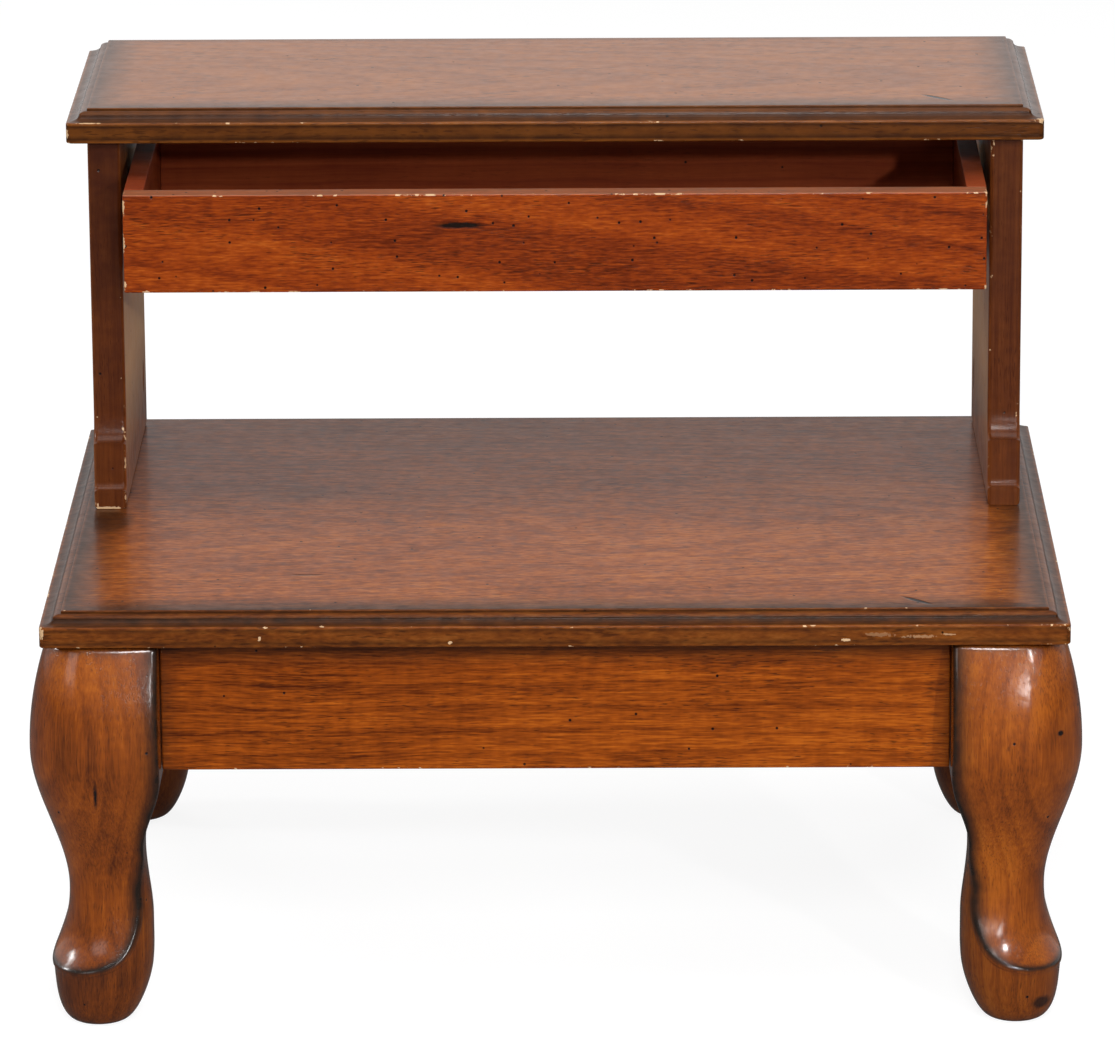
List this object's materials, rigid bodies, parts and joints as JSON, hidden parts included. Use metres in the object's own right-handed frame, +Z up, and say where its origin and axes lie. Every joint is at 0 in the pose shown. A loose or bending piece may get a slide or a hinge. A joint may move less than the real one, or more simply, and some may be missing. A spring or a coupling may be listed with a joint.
{
  "type": "step stool with drawer",
  "caption": "Two-step wooden bed stool on carved cabriole legs, with ogee-moulded step boards and a shallow drawer that slides on side runners under the upper step.",
  "frame": {"origin": "On the floor, under the middle of the lower step board.", "axes": "+X is to the right of someone who stands in front of the stool, +Y points to the back and +Z is up. The drawer opens along -Y."},
  "size_m": [0.5772, 0.4272, 0.471],
  "materials": {
    "stained_cherry": "satin lacquer over stain",
    "stained_poplar": "thin stain",
    "stained_plywood": "thin stain",
    "bare_pine": "planed, unfinished",
    "waxed_beech": "planed, waxed",
    "zinc_plated_steel": "zinc plated"
  },
  "bodies": {
    "stool": {"lower_step_board": "stained_cherry", "upper_step_board": "stained_cherry", "side_panel_left": "stained_cherry", "side_panel_right": "stained_cherry", "front_apron": "stained_cherry", "back_apron": "stained_cherry", "side_apron_left": "stained_cherry", "side_apron_right": "stained_cherry", "leg_front_left": "stained_cherry", "leg_front_right": "stained_cherry", "leg_back_left": "stained_cherry", "leg_back_right": "stained_cherry", "corner_brace_front_left": "bare_pine", "corner_brace_front_right": "bare_pine", "corner_brace_back_left": "bare_pine", "corner_brace_back_right": "bare_pine", "leg_bolt_front_left": "zinc_plated_steel", "leg_bolt_front_right": "zinc_plated_steel", "leg_bolt_back_left": "zinc_plated_steel", "leg_bolt_back_right": "zinc_plated_steel", "brace_screw_front_left": "zinc_plated_steel", "brace_screw_front_right": "zinc_plated_steel", "brace_screw_back_left": "zinc_plated_steel", "brace_screw_back_right": "zinc_plated_steel", "panel_screw_left_front": "zinc_plated_steel", "panel_screw_left_back": "zinc_plated_steel", "panel_screw_right_front": "zinc_plated_steel", "panel_screw_right_back": "zinc_plated_steel", "pocket_screw_left": "zinc_plated_steel", "pocket_screw_right": "zinc_plated_steel", "dowel_left_front": "waxed_beech", "dowel_left_back": "waxed_beech", "dowel_right_front": "waxed_beech", "dowel_right_back": "waxed_beech", "drawer_runner_left": "waxed_beech", "drawer_runner_right": "waxed_beech", "runner_screw_left_front": "zinc_plated_steel", "runner_screw_left_back": "zinc_plated_steel", "runner_screw_right_front": "zinc_plated_steel", "runner_screw_right_back": "zinc_plated_steel"},
    "drawer": {"drawer_front": "stained_cherry", "drawer_side_left": "stained_poplar", "drawer_side_right": "stained_poplar", "drawer_back": "stained_poplar", "drawer_bottom": "stained_plywood"}
  },
  "joints": [
    {"name": "drawer_slide", "type": "slide", "parent": "stool", "child": "drawer", "axis": [0, -1, 0], "range_m": [-0.0485, 0.061]}
  ]
}
